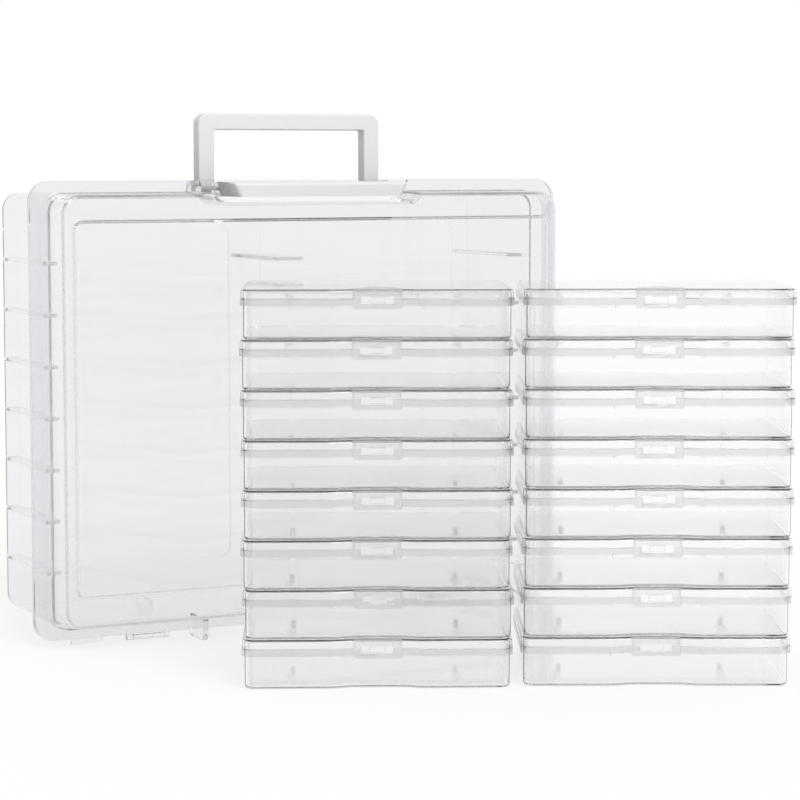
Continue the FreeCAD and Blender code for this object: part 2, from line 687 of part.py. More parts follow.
def build_latch():
    """A cap that covers the bay, open below, on two pins near its rear edge."""
    body = new_body("lid_latch")
    wall = size["latch_wall"]
    top = flange_high - size["latch_top_step"]
    low = top - size["latch_height"]
    upper, lower = size["latch_half"], size["latch_low_half"]
    outline = new_sketch(body, "latch_outline", "XZ_Plane", size["latch_back"])
    add_polygon(outline, [(-lower, low), (lower, low), (upper, top), (-upper, top)])
    block = pad(body, outline, size["latch_front"] - size["latch_back"])
    near = wall.number * NEAR_SHARE
    rear = -size["latch_back"].number - near
    block = round_edges(
        body,
        "latch_rear_edge",
        block,
        lambda box: box.YMin > rear and box.ZMin > top.number - near,
        size["latch_round"] - size["pin_fit"],
    )
    front = near - size["latch_front"].number
    round_edges(
        body,
        "latch_front_edge",
        block,
        lambda box: box.YMax < front and box.ZMin > top.number - near,
        size["latch_front_round"],
    )
    hollow = new_sketch(body, "latch_hollow", "XZ_Plane", size["latch_back"] + wall)
    under = low - size["overrun"]
    add_polygon(
        hollow,
        [
            (-(lower - wall), under),
            (lower - wall, under),
            (upper - wall, top - wall),
            (-(upper - wall), top - wall),
        ],
    )
    pocket(body, hollow, size["latch_front"] - size["latch_back"] - wall * 2, backwards=True)
    start = lower - wall / 2
    pin = new_sketch(body, "latch_pin", "YZ_Plane", start)
    add_peg(pin, (latch_front, latch_height), size["latch_pin"])
    length = size["latch_half"] + size["bracket_gap"] + size["latch_ear_width"] - start
    mirror(body, "latch_pins", [pad(body, pin, length)])
    return body


def build_handle():
    """A bail that folds back on two pins in the brackets."""
    body = new_body("carry_handle")
    half, leg = size["handle_half"], size["handle_leg"]
    top = flange_high + size["handle_rise"]
    low = handle_height - size["handle_depth"] / 2
    grip = top - size["handle_bar"]
    inner = half - leg
    start = size["handle_axis_back"] - size["handle_depth"] / 2
    outline = new_sketch(body, "handle_outline", "XZ_Plane", -start)
    corners = [(-half, top), (-half, low), (-inner, low), (-inner, grip)]
    corners += [(inner, grip), (inner, low), (half, low), (half, top)]
    add_polygon(outline, corners)
    block = pad(body, outline, size["handle_depth"], backwards=True)
    near = leg.number * NEAR_SHARE
    block = round_edges(
        body,
        "handle_corners",
        block,
        lambda box: box.ZMin > top.number - near and box.XLength < near,
        size["handle_corner"],
    )
    round_edges(
        body,
        "handle_feet",
        block,
        lambda box: box.ZMax < low.number + near and box.YLength < near,
        size["handle_depth"] * 0.49,
    )
    pin = new_sketch(body, "handle_pin", "YZ_Plane", half - leg / 2)
    add_peg(pin, (size["handle_axis_back"], handle_height), size["handle_pin"])
    mirror(body, "handle_pins", [pad(body, pin, leg / 2 + size["handle_pin_reach"])])
    return body


# Heights and places that a tray and its lid share
rim_height = size["photo_height"] - size["cap_thickness"] - size["cap_seat"]
skirt_low = size["photo_height"] - size["cap_skirt"]
ear_axis = size["tray_depth"] + size["ear_back"]
ear_height = skirt_low - size["ear_drop"]
window_high = size["photo_height"] - size["window_drop"]
tab_back = size["tab_front"] + size["tab_thickness"]


def build_tray():
    """Box of a photo case: a dented front wall with a catch, and two hinge ears at the back."""
    body = new_body("tray")
    half, depth = size["tray_width"] / 2, size["tray_depth"]
    outline = new_sketch(body, "tray_outline", "XY_Plane")
    add_polygon(outline, box_outline(half, ZERO, depth, size["tray_corner"], CORNER_SIDES))
    block = pad(body, outline, rim_height)
    near = size["tray_wall"].number * NEAR_SHARE
    bevel_edges(body, "tray_bevel", block, lambda box: box.ZMax < near, size["tray_edge"])
    dent = new_sketch(body, "tray_dent", "XY_Plane", -size["overrun"])
    back, mouth = size["dent_half"], size["dent_mouth_half"]
    deep = size["dent_depth"]
    before = -size["overrun"]
    corners = [(-mouth, before), (mouth, before), (mouth, ZERO), (back, deep), (-back, deep), (-mouth, ZERO)]
    add_polygon(dent, corners)
    pocket(body, dent, rim_height + size["overrun"] * 2, backwards=True)
    wall = size["tray_wall"]
    hollow = new_sketch(body, "tray_hollow", "XY_Plane", wall)
    dented = [(-mouth, wall), (-back, deep + wall), (back, deep + wall), (mouth, wall)]
    turn = size["tray_corner"] - wall
    add_polygon(hollow, box_outline(half - wall, wall, depth - wall, turn, INNER_SIDES, dented))
    pocket(body, hollow, rim_height, backwards=True)
    catch = new_sketch(body, "catch", "XY_Plane", window_high - size["window_height"] / 2 - size["catch_height"] / 2)
    add_box(catch, -size["catch_half"], tab_back + size["catch_gap"], size["catch_half"], deep + wall / 2)
    pad(body, catch, size["catch_height"])
    start = size["ear_across"] - size["ear_width"]
    ear = new_sketch(body, "ear", "YZ_Plane", start)
    high = ear_height + size["ear_half"]
    low = ear_height - size["ear_half"]
    foot = low - size["ear_back"]
    end = ear_axis + size["ear_half"]
    add_polygon(ear, [(depth - wall / 2, foot), (end, low), (end, high), (depth - wall / 2, high)])
    add_bore(ear, (ear_axis, ear_height), size["peg_radius"] + size["peg_fit"])
    mirror(body, "ears", [pad(body, ear, size["ear_width"])])
    return body


def build_cap():
    """Lid of a photo case: a plate with a skirt, a closing tab and two hinge lugs with pegs."""
    body = new_body("cap")
    gap, wall = size["cap_gap"], size["cap_wall"]
    half = size["tray_width"] / 2 + gap + wall
    front, back = -(gap + wall), size["tray_depth"] + gap + wall
    outline = new_sketch(body, "cap_outline", "XY_Plane", skirt_low)
    turn = size["tray_corner"] + gap
    add_polygon(outline, box_outline(half, front, back, turn + wall, CORNER_SIDES))
    pad(body, outline, size["cap_skirt"])
    dent = new_sketch(body, "cap_dent", "XY_Plane", skirt_low - size["overrun"])
    near, mouth = size["dent_half"], size["dent_mouth_half"]
    before = front - size["overrun"]
    deep = size["tab_front"]
    corners = [(-mouth, before), (mouth, before), (mouth, front), (near, deep), (-near, deep), (-mouth, front)]
    add_polygon(dent, corners)
    pocket(body, dent, size["cap_skirt"] + size["overrun"] * 2, backwards=True)
    hollow = new_sketch(body, "cap_hollow", "XY_Plane", skirt_low - size["overrun"])
    dented = [(-mouth, front + wall), (-near, deep + wall), (near, deep + wall), (mouth, front + wall)]
    inner = box_outline(half - wall, front + wall, back - wall, turn, INNER_SIDES, dented)
    add_polygon(hollow, inner)
    pocket(body, hollow, size["cap_skirt"] - size["cap_thickness"] + size["overrun"], backwards=True)

    tab = new_sketch(body, "tab", "XZ_Plane", -size["tab_front"])
    tab_high = size["photo_height"] + size["tab_rise"]
    add_box(tab, -size["tab_half"], tab_high - size["tab_height"], size["tab_half"], tab_high)
    pad(body, tab, size["tab_thickness"], backwards=True)
    window = new_sketch(body, "window", "XZ_Plane", -(size["tab_front"] - size["overrun"]))
    side = size["window_half"]
    add_box(window, -side, window_high - size["window_height"], side, window_high)
    pocket(body, window, size["tab_thickness"] + size["overrun"] * 2)

    start = size["ear_across"] + size["lug_gap"]
    lug = new_sketch(body, "lug", "YZ_Plane", start)
    reach = size["lug_half"]
    top = skirt_low + size["lug_rise"]
    end, low, mid = ear_axis + reach, ear_height - reach, ear_height + reach
    add_polygon(lug, [(ear_axis - reach, low), (end, low), (end, mid), (back - wall / 2, top), (ear_axis - reach, top)])
    lugs = [pad(body, lug, size["lug_width"])]
    peg = new_sketch(body, "peg", "YZ_Plane", start - size["peg_length"])
    add_peg(peg, (ear_axis, ear_height), size["peg_radius"])
    lugs.append(pad(body, peg, size["peg_length"] + size["lug_width"] / 2))
    mirror(body, "lugs", lugs)
    return body


pieces = [build_body(), build_lid(), build_latch(), build_handle()]
for piece in pieces:
    put(piece, case_across, case_behind, ZERO, size["case_turn"])
tray, cap = build_tray(), build_cap()
stacks = (
    ("left", LEFT_SLIP_SHARES, left_across, left_behind, size["left_turn"]),
    ("right", RIGHT_SLIP_SHARES, right_across, right_behind, ZERO),
)
for side, slips, across, behind, turn in stacks:
    for number, slip in enumerate(slips):
        for master, name in ((tray, "tray"), (cap, "lid")):
            piece = doc.addObject("Part::Compound", f"{side}_case_{number + 1}_{name}")
            piece.Label = f"{side}_case_{number + 1}_{name}"
            piece.Links = [master]
            put(piece, across + size["stack_wander"] * slip, behind, size["photo_height"] * number, turn)
            pieces.append(piece)
doc.recompute()

# The whole set is moved so that the middle of its footprint is the origin.
bounds = FreeCAD.BoundBox()
for piece in pieces:
    bounds.add(piece.Shape.BoundBox)
middle.set("A1", str(bounds.Center.x))
middle.set("A2", str(bounds.Center.y))
doc.recompute()

for item in doc.Objects:
    if {"Invalid", "Error"} & set(item.State):
        raise RuntimeError(f"{item.Label} did not build")
os.makedirs("parts", exist_ok=True)
for piece in pieces:
    solids = piece.Shape.Solids
    if len(solids) != 1 or solids[0].isNull() or not solids[0].isValid():
        raise RuntimeError(f"{piece.Label} is not one valid solid")
    solids[0].exportStep(f"parts/{piece.Label}.step")
print(len(pieces), "pieces written")
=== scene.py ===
import json
import math

import bpy
from bpy.props import FloatProperty, FloatVectorProperty, PointerProperty
from mathutils import Matrix, Vector


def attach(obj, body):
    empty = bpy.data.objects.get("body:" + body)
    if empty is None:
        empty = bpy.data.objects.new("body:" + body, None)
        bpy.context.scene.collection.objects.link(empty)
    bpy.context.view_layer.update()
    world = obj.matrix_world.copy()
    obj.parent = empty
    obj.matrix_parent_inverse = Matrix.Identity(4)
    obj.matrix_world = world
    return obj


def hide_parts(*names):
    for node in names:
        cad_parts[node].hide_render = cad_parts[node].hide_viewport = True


bl_info = {
    "name": "Photo keeper set",
    "version": (1, 0),
    "blender": (4, 5, 0),
    "location": "View3D > Sidebar > Photo keeper",
    "description": "Dresses the packed carrying case and its two stacks of photo cases",
    "category": "Object",
}

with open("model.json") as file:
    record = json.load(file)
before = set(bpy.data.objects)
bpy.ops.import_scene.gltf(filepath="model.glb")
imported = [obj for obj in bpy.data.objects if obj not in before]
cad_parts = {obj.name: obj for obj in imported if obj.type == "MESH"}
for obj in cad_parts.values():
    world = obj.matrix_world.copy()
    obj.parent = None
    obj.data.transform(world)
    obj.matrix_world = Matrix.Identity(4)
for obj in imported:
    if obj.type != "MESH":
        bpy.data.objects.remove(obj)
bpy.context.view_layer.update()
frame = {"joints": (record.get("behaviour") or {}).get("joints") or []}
MM = 0.001
NEAR = 0.05 * MM  # tolerance for picking points, edges and faces of the carrying case
SIDES = ("left", "right")
CASES = range(1, 9)
MIRRORED = (-1, 1)
joints = {joint["name"]: joint for joint in frame["joints"]}

# the lines that pins and barrels lie on, from side to side: their places back and up
CASE_HINGE = (-2.65 * MM, 1.9 * MM)
LATCH_PINS = (-7.2 * MM, 306.4 * MM)
HANDLE_PINS = (23.3 * MM, 308.3 * MM)
BARREL_RADIUS = 1.9 * MM
LATCH_PIN_RADIUS = 1.6 * MM
HANDLE_PIN_RADIUS = 1.8 * MM
HANDLE_BORE_RADIUS = 1.86 * MM
PEG_RADIUS = 0.8 * MM
PEG_BORE_RADIUS = 0.85 * MM

# millimetres, as in span and slab
SHELF_UNDERSIDES = [45.9 + 34.9 * number for number in range(7)]
SHELF_THICKNESS = 2.2
LEDGE_MIDDLE_UP = 19.65

TAB_HALF = 15.2 * MM
TAB_THICKNESS = 1.3 * MM
LID_AIR = 0.12 * MM
ROD_SIDES = 20
SHARP_EDGE = math.radians(48)
SMOOTH_EDGE = math.radians(32)
NORMAL_WEIGHT = 60

CLEAR_IOR, MILKY_IOR = 1.45, 1.49
PHOTO_CASE_DENSITY, CARRYING_CASE_DENSITY = 5, 9  # of the absorbing volume, per metre
SPECK_SHARE = 0.05  # height of the specks beside that of the waves
FROST_ROUGHNESS = 0.14

CAMERA_PLACE = (0.016476, -1.78771, 0.3278)
CAMERA_TILT = math.radians(90 - 5.33)
CAMERA_LENS = 117.5
KEY_DIRECTION = (0.35, -0.66, 0.66)
KEY_SPREAD = math.radians(35)
FLOOR_SIZE = 12
FLOOR_GLOW = 0.82
CEILING_START, CEILING_FULL = 0.45, 0.75
BOUNCES = 48  # light crosses many clear walls one behind the other


def length(name, description, millimetres):
    return FloatProperty(
        name=name, description=description, default=millimetres * MM, unit="LENGTH", precision=4
    )


def colour(name, description, value):
    return FloatVectorProperty(
        name=name, description=description, default=value, size=3, subtype="COLOR", min=0, max=1
    )


def amount(name, description, value):
    return FloatProperty(name=name, description=description, default=value, min=0)


class PhotoCaseSizes(bpy.types.PropertyGroup):
    width: length("Width", "Outside width of a tray", 164.4)
    depth: length("Depth", "Outside depth of a tray", 116)
    height: length("Height", "Height of a closed photo case", 30.9)
    rim: length("Rim", "Height of a tray without its lid", 29.3)
    wall: length("Wall", "Wall thickness of a tray", 1.4)
    corner: length("Corner", "Corner radius of a tray", 6)
    bevel: length("Lower edge", "Rounding under a tray", 2.4)
    dent: length("Dent", "Depth of the dent in the front wall", 4)
    dent_half: length("Dent half width", "Half width of the dent at its back", 15.8)
    mouth_half: length("Dent mouth", "Half width of the dent at the front", 25.5)
    lid_out: length("Lid overhang", "Lid's outside before the tray's", 1.9)
    window: length("Window", "Upper edge of the tab's window", 26.6)
    band: length("Band", "Height of the skirt's proud lower band", 4.4)
    lid_wall: length("Lid wall", "Thickness of lid and skirt", 1.1)
    skirt: length("Skirt", "Height of the lid's skirt", 10.2)
    tab_front: length("Tab setback", "Front of the tab behind the tray's front", 0.4)
    hinge_back: length("Hinge axis back", "Hinge axis behind the tray's front", 119.2)
    hinge_up: length("Hinge axis height", "Hinge axis above the tray's base", 18.6)


class CarryingCaseSizes(bpy.types.PropertyGroup):
    width: length("Width", "Outside width of the flanges", 397)
    height: length("Height", "Outside height of the flanges", 307.3)
    lift: length("Lift", "Flanges above the ground", 4.2)
    lid_depth: length("Lid depth", "Front panel before the flanges' parting", 32.2)
    body_depth: length("Body depth", "Back wall behind the flanges' parting", 101.5)


class Finishes(bpy.types.PropertyGroup):
    clear: colour("Clear plastic", "Tint of the clear polypropylene", (0.992, 0.993, 0.994))
    case: colour("Carrying case plastic", "Tint of the carrying case", (0.93, 0.934, 0.942))
    white: colour("White plastic", "Colour of handle and latch", (0.74, 0.74, 0.75))
    floor: colour("Floor", "Colour of the floor", (1.0, 1.0, 1.0))
    frost: colour("Frosted plastic", "Tint of the skirt's band and the tab", (0.84, 0.845, 0.855))
    ceiling: amount("Ceiling", "Brightness of the ceiling", 0.42)
    fill: amount("Fill", "Light from all sides", 0.6)
    key: amount("Key", "Soft light from front right", 1.9)


def socket(group, name, kind, inward=True, value=None):
    made = group.interface.new_socket(
        name=name, in_out="INPUT" if inward else "OUTPUT", socket_type=kind
    )
    if value is not None:
        made.default_value = value
    return made


def set_inputs(node, values):
    for name, value in values.items():
        node.inputs[name].default_value = value


def flow_group():
    """Faint waves and specks of a moulded surface: a height and a change of roughness."""
    name = "Moulded surface"
    if name in bpy.data.node_groups:
        return bpy.data.node_groups[name]
    group = bpy.data.node_groups.new(name, "ShaderNodeTree")
    socket(group, "Wave size", "NodeSocketFloat", value=12)
    socket(group, "Speck size", "NodeSocketFloat", value=600)
    socket(group, "Roughness low", "NodeSocketFloat", value=0.03)
    socket(group, "Roughness high", "NodeSocketFloat", value=0.09)
    socket(group, "Height", "NodeSocketFloat", inward=False)
    socket(group, "Roughness", "NodeSocketFloat", inward=False)
    nodes, links = group.nodes, group.links
    entry, leave = nodes.new("NodeGroupInput"), nodes.new("NodeGroupOutput")
    place = nodes.new("ShaderNodeTexCoord")
    wave, speck = nodes.new("ShaderNodeTexNoise"), nodes.new("ShaderNodeTexNoise")
    set_inputs(wave, {"Detail": 2})
    set_inputs(speck, {"Detail": 1})
    links.new(place.outputs["Object"], wave.inputs["Vector"])
    links.new(place.outputs["Object"], speck.inputs["Vector"])
    links.new(entry.outputs["Wave size"], wave.inputs["Scale"])
    links.new(entry.outputs["Speck size"], speck.inputs["Scale"])
    spread = nodes.new("ShaderNodeMapRange")
    links.new(wave.outputs["Fac"], spread.inputs["Value"])
    links.new(entry.outputs["Roughness low"], spread.inputs["To Min"])
    links.new(entry.outputs["Roughness high"], spread.inputs["To Max"])
    mix = nodes.new("ShaderNodeMath")
    mix.operation = "MULTIPLY_ADD"
    mix.inputs[1].default_value = SPECK_SHARE
    links.new(speck.outputs["Fac"], mix.inputs[0])
    links.new(wave.outputs["Fac"], mix.inputs[2])
    links.new(mix.outputs["Value"], leave.inputs["Height"])
    links.new(spread.outputs["Result"], leave.inputs["Roughness"])
    return group


def moulded_material(name, tint, density=0):
    """A moulded plastic with the shared surface group; one with a density lets light through."""
    material = bpy.data.materials.new(name)
    material.use_nodes = True
    nodes, links = material.node_tree.nodes, material.node_tree.links
    shader = nodes["Principled BSDF"]
    surface, bump = nodes.new("ShaderNodeGroup"), nodes.new("ShaderNodeBump")
    surface.node_tree = flow_group()
    links.new(surface.outputs["Height"], bump.inputs["Height"])
    links.new(bump.outputs["Normal"], shader.inputs["Normal"])
    links.new(surface.outputs["Roughness"], shader.inputs["Roughness"])
    set_inputs(shader, {"Base Color": (*tint, 1)})
    if density:
        set_inputs(shader, {"IOR": CLEAR_IOR, "Transmission Weight": 1.0})
        set_inputs(bump, {"Strength": 0.05, "Distance": 0.001})
        body = nodes.new("ShaderNodeVolumeAbsorption")
        set_inputs(body, {"Color": (0.6, 0.62, 0.64, 1), "Density": density})
        links.new(body.outputs["Volume"], nodes["Material Output"].inputs["Volume"])
    else:
        set_inputs(shader, {"IOR": MILKY_IOR})
        set_inputs(surface, {"Roughness low": 0.32, "Roughness high": 0.42, "Speck size": 1500})
        set_inputs(bump, {"Strength": 0.15, "Distance": 0.0005})
    return material


def frost_band(material, finish):
    """Frosts the faces that carry the attribute "band": the lids' skirt band and tab."""
    nodes, links = material.node_tree.nodes, material.node_tree.links
    shader = nodes["Principled BSDF"]
    band = nodes.new("ShaderNodeAttribute")
    band.attribute_name = "band"
    tint = nodes.new("ShaderNodeMix")
    tint.data_type = "RGBA"
    set_inputs(tint, {"A": (*finish.clear, 1), "B": (*finish.frost, 1)})
    links.new(band.outputs["Fac"], tint.inputs["Factor"])
    links.new(tint.outputs["Result"], shader.inputs["Base Color"])
    rough = nodes.new("ShaderNodeMix")
    links.new(band.outputs["Fac"], rough.inputs["Factor"])
    links.new(shader.inputs["Roughness"].links[0].from_socket, rough.inputs["A"])
    set_inputs(rough, {"B": FROST_ROUGHNESS})
    links.new(rough.outputs["Result"], shader.inputs["Roughness"])


def dress(obj, material):
    obj.data.materials.clear()
    obj.data.materials.append(material)


def settle():
    """Leaves edit mode with nothing selected."""
    if bpy.context.mode != "OBJECT":
        bpy.ops.object.mode_set(mode="OBJECT")
    bpy.ops.object.select_all(action="DESELECT")


def activate(piece):
    settle()
    piece.select_set(True)
    bpy.context.view_layer.objects.active = piece


def block(name, low, high):
    """A box between two corners, ready to be shaped."""
    settle()
    middle = [(a + b) / 2 for a, b in zip(low, high)]
    size = [b - a for a, b in zip(low, high)]
    bpy.ops.mesh.primitive_cube_add(size=1, location=middle, scale=size)
    piece = bpy.context.object
    piece.name = name
    bpy.ops.object.transform_apply(location=True, rotation=True, scale=True)
    return piece


def span(name, side, inner, outer, depths, heights):
    """A box on one side of the middle, with its places in millimetres."""
    ends = sorted((side * inner * MM, side * outer * MM))
    low = (ends[0], depths[0] * MM, heights[0] * MM)
    return block(name, low, (ends[1], depths[1] * MM, heights[1] * MM))


def slab(name, half, depths, heights):
    """A box across the middle, with its places in millimetres."""
    low = (-half * MM, depths[0] * MM, heights[0] * MM)
    return block(name, low, (half * MM, depths[1] * MM, heights[1] * MM))


def rod(name, side, inner, outer, line, radius):
    """A round rod on one side of the middle, with its ends in millimetres."""
    settle()
    start, end = side * inner * MM, side * outer * MM
    bpy.ops.mesh.primitive_cylinder_add(
        vertices=ROD_SIDES,
        radius=radius,
        depth=abs(end - start),
        location=((start + end) / 2, *line),
        rotation=(0, math.pi / 2, 0),
    )
    piece = bpy.context.object
    piece.name = name
    bpy.ops.object.transform_apply(location=True, rotation=True, scale=True)
    return piece


def pick(piece, kind, test):
    """Opens a piece in edit mode with only its points, edges or faces that pass test selected."""
    activate(piece)
    bpy.ops.object.mode_set(mode="EDIT")
    bpy.ops.mesh.select_mode(type=kind)
    bpy.ops.mesh.select_all(action="DESELECT")
    bpy.ops.object.mode_set(mode="OBJECT")
    mesh = piece.data
    if kind == "VERT":
        for vertex in mesh.vertices:
            vertex.select = bool(test(vertex.co))
    elif kind == "EDGE":
        for edge in mesh.edges:
            edge.select = bool(test(*(mesh.vertices[number].co for number in edge.vertices)))
    else:
        for face in mesh.polygons:
            face.select = bool(test(face.center, face.normal))
    bpy.ops.object.mode_set(mode="EDIT")


def shift(piece, test, way):
    """Moves the points that pass test."""
    pick(piece, "VERT", test)
    bpy.ops.transform.translate(value=way)


def stretch(piece, test, factors, center):
    """Scales the points that pass test about a place."""
    pick(piece, "VERT", test)
    bpy.ops.transform.resize(value=factors, center_override=center)


def bevel(piece, test, width, segments):
    """Rounds the edges that pass test."""
    pick(piece, "EDGE", test)
    bpy.ops.mesh.bevel(offset=width, segments=segments, affect="EDGES")


def open_up(piece, test):
    """Deletes the faces that pass test."""
    pick(piece, "FACE", test)
    bpy.ops.mesh.delete(type="FACE")


def cut(piece, place, normal):
    """Cuts all faces along a plane, and leaves both halves."""
    pick(piece, "VERT", lambda co: True)
    bpy.ops.mesh.bisect(plane_co=place, plane_no=normal)


def merge_flat(piece, degrees):
    """Merges faces that lie in one plane, within some degrees."""
    pick(piece, "VERT", lambda co: True)
    bpy.ops.mesh.dissolve_limited(angle_limit=math.radians(degrees))


def modify(piece, kind, **values):
    """Adds a modifier and applies it."""
    activate(piece)
    modifier = piece.modifiers.new(kind.title(), kind)
    for name, value in values.items():
        setattr(modifier, name, value)
    bpy.ops.object.modifier_apply(modifier=modifier.name)


def thicken(piece, wall):
    """Gives an open shell its wall, inward from its outside."""
    modify(piece, "SOLIDIFY", thickness=wall, offset=-1, use_even_offset=True)


def round_off(piece, width, segments):
    """Rounds every sharp edge a little, as a mould does."""
    modify(
        piece, "BEVEL", width=width, segments=segments, limit_method="ANGLE", angle_limit=SHARP_EDGE
    )


def combine(piece, other, operation):
    """Joins another piece to this one, or cuts it out, and deletes it."""
    modify(piece, "BOOLEAN", object=other, operation=operation, solver="EXACT")
    bpy.data.objects.remove(other, do_unlink=True)


def unite(piece, other):
    combine(piece, other, "UNION")


def copy_of(piece, name):
    twin = piece.copy()
    twin.data = piece.data.copy()
    twin.name = name
    bpy.context.scene.collection.objects.link(twin)
    return twin


def smooth(piece):
    """Smooth shading over rounded edges only; the large flat faces stay flat."""
    activate(piece)
    bpy.ops.object.shade_smooth_by_angle(angle=SMOOTH_EDGE)
    modify(piece, "WEIGHTED_NORMAL", keep_sharp=True, weight=NORMAL_WEIGHT)


def settle_place(piece, matrix):
    """Puts a piece where it belongs and applies the place to its mesh."""
    activate(piece)
    piece.matrix_world = matrix
    bpy.ops.object.transform_apply(location=True, rotation=True, scale=True)


def hinge_frame(name, back, up):
    """From a model's own space to the set: its hinge line, back and up there, meets the joint's."""
    joint = joints[name]
    across = Vector(joint["axis"])
    if across.x < 0:
        across.negate()
    turn = Matrix.Rotation(math.atan2(across.y, across.x), 4, "Z")
    return Matrix.Translation(joint["pos_m"]) @ turn @ Matrix.Translation((0, -back, -up))


def lay_out(master, part):
    """Copies a tray or lid to all the photo cases, and gives each copy its body and its node."""
    s = bpy.context.scene.keeper_photo_case
    for side in SIDES:
        for number in CASES:
            case = f"{side}_case_{number}"
            piece = copy_of(master, f"{case}_clear_{part}")
            settle_place(piece, hinge_frame(f"{case}_open", s.hinge_back, s.hinge_up))
            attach(piece, f"{case}_{part}")
            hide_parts(f"{case}_{part}")
    bpy.data.objects.remove(master, do_unlink=True)


def settle_in_case(piece, body, node, slot):
    """Finishes a piece of the carrying case and lets it stand for a node."""
    smooth(piece)
    settle_place(piece, hinge_frame("case_lid_swing", *CASE_HINGE))
    finish = "Milky polypropylene" if slot == "white_plastic" else "Clear carrying case"
    dress(piece, bpy.data.materials[finish])
    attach(piece, body)
    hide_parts(node)


def dent_front(piece, s, front, depth):
    """Pushes the middle of the front wall back, with soft slopes beside it."""
    near = s.wall / 10

    def at_dent(co):
        return abs(co.x) < s.mouth_half + near and co.y < front + depth + near

    for place in (-s.mouth_half, -s.dent_half, s.dent_half, s.mouth_half):
        cut(piece, (place, 0, 0), (1, 0, 0))
    in_middle = s.dent_half + near
    shift(piece, lambda co: co.y < front + near and abs(co.x) < in_middle, (0, depth, 0))
    merge_flat(piece, 0.5)
    bevel(piece, lambda a, b: abs(a.z - b.z) > near and at_dent(a) and at_dent(b), 4.5 * MM, 4)


def tray_shell(s):
    """A tray's walls and floor."""
    half, near = s.width / 2, s.wall / 10
    tray = block("photo_tray", (-half, 0, 0), (half, s.depth, s.rim))
    bevel(tray, lambda a, b: abs(a.z - b.z) > near, s.corner, 6)
    dent_front(tray, s, 0, s.dent)
    bevel(tray, lambda a, b: max(a.z, b.z) < near, s.bevel, 3)
    open_up(tray, lambda middle, normal: middle.z > s.rim - near)
    thicken(tray, s.wall)
    round_off(tray, 0.25 * MM, 2)
    return tray


def tray_catch(s):
    """The block in the dent that the tab's window snaps over."""
    low, high = s.window - 4.6 * MM, s.window - 0.4 * MM
    catch = block("catch", (-5 * MM, 2.4 * MM, low), (5 * MM, 4.6 * MM, high))
    bevel(catch, lambda a, b: max(a.y, b.y) < 2.5 * MM, 0.7 * MM, 3)
    return catch


def taper(piece, width, middle):
    """Narrows the front of a ledge or stop, as a mould needs."""
    stretch(piece, lambda co: co.y < 0, (width, 1, 0.6), (middle * MM, 0, LEDGE_MIDDLE_UP * MM))


def add_tray_mouldings(tray, side, s):
    """Adds one side's ledge under the lid's skirt with its stop, its hinge ear and its nub."""
    ledge = span("ledge", side, 28, 77, (-0.8, 0.6), (19.2, 20.1))
    taper(ledge, 0.98, side * 52.5)
    unite(tray, ledge)
    stop = span("stop", side, 25.7, 28.4, (-1.2, 0.7), (18.8, 20.5))
    taper(stop, 0.7, side * 27)
    unite(tray, stop)
    ear = span("ear", side, 52, 55, (115.2, 120.7), (10, 20.1))
    shift(ear, lambda co: co.z < 11 * MM and co.y > 118 * MM, (0, 0, 7.1 * MM))
    bore = rod("bore", side, 50, 57, (s.hinge_back, s.hinge_up), PEG_BORE_RADIUS)
    combine(ear, bore, "DIFFERENCE")
    unite(tray, ear)
    nub = span("nub", side, 51.3, 54.7, (112.9, 115.1), (0.9, 3.4))
    shift(nub, lambda co: co.z > 3 * MM and co.y < 114 * MM, (0, 0.6 * MM, 0))
    unite(tray, nub)


def photo_lid_shell(s):
    """A photo lid's plate and skirt, whose lower band stands a little proud."""
    out, near, step = s.lid_out, s.wall / 10, 0.4 * MM
    half, low = s.width / 2 + out, s.height - s.skirt
    # a hair of air under the tray that stands on it, or the two faces fall together
    high = s.height - LID_AIR
    lid = block("photo_lid", (-half, -out, low), (half, s.depth + out, high))
    bevel(lid, lambda a, b: abs(a.z - b.z) > near, s.corner + out, 6)
    dent_front(lid, s, -out, s.tab_front + out)
    for height in (low + s.band, low + s.band + 0.35 * MM):
        cut(lid, (0, 0, height), (0, 0, 1))
    inward = (1 - step / half, 1 - step / (s.depth / 2 + out), 1)
    stretch(lid, lambda co: co.z > low + s.band + near, inward, (0, s.depth / 2, high))
    bevel(lid, lambda a, b: min(a.z, b.z) > high - near, 1.6 * MM, 3)
    open_up(lid, lambda middle, normal: middle.z < low + near)
    thicken(lid, s.lid_wall)
    round_off(lid, 0.22 * MM, 2)
    return lid


def photo_lid_tab(s):
    """The tab in the middle of the skirt, with a slightly bowed upper edge."""
    near, top = s.wall / 10, s.height + 0.6 * MM
    low = (-TAB_HALF, s.tab_front, top - 12.7 * MM)
    tab = block("tab", low, (TAB_HALF, s.tab_front + TAB_THICKNESS, top))
    for share in (-0.75, -0.5, -0.25, 0, 0.25, 0.5, 0.75):
        cut(tab, (TAB_HALF * share, 0, 0), (1, 0, 0))
    for share in (0, 0.25, 0.5, 0.75):
        reach = TAB_HALF * share + 0.1 * MM
        shift(tab, lambda co: co.z > top - near and abs(co.x) < reach, (0, 0, 0.22 * MM))
    merge_flat(tab, 0.2)
    bevel(tab, lambda a, b: abs(a.y - b.y) > near and abs(a.z - top) > near, 1 * MM, 3)
    return tab


def cut_window(lid, tab, s):
    """Cuts the window through skirt and tab, and joins the tab to the lid."""
    near = s.wall / 10
    window = block("window", (-10 * MM, -3 * MM, s.window - 5 * MM), (10 * MM, 6 * MM, s.window))
    bevel(window, lambda a, b: abs(a.y - b.y) > near, 0.6 * MM, 2)
    hole = copy_of(window, "hole")
    combine(tab, window, "DIFFERENCE")
    round_off(tab, 0.3 * MM, 2)
    combine(lid, hole, "DIFFERENCE")
    unite(lid, tab)


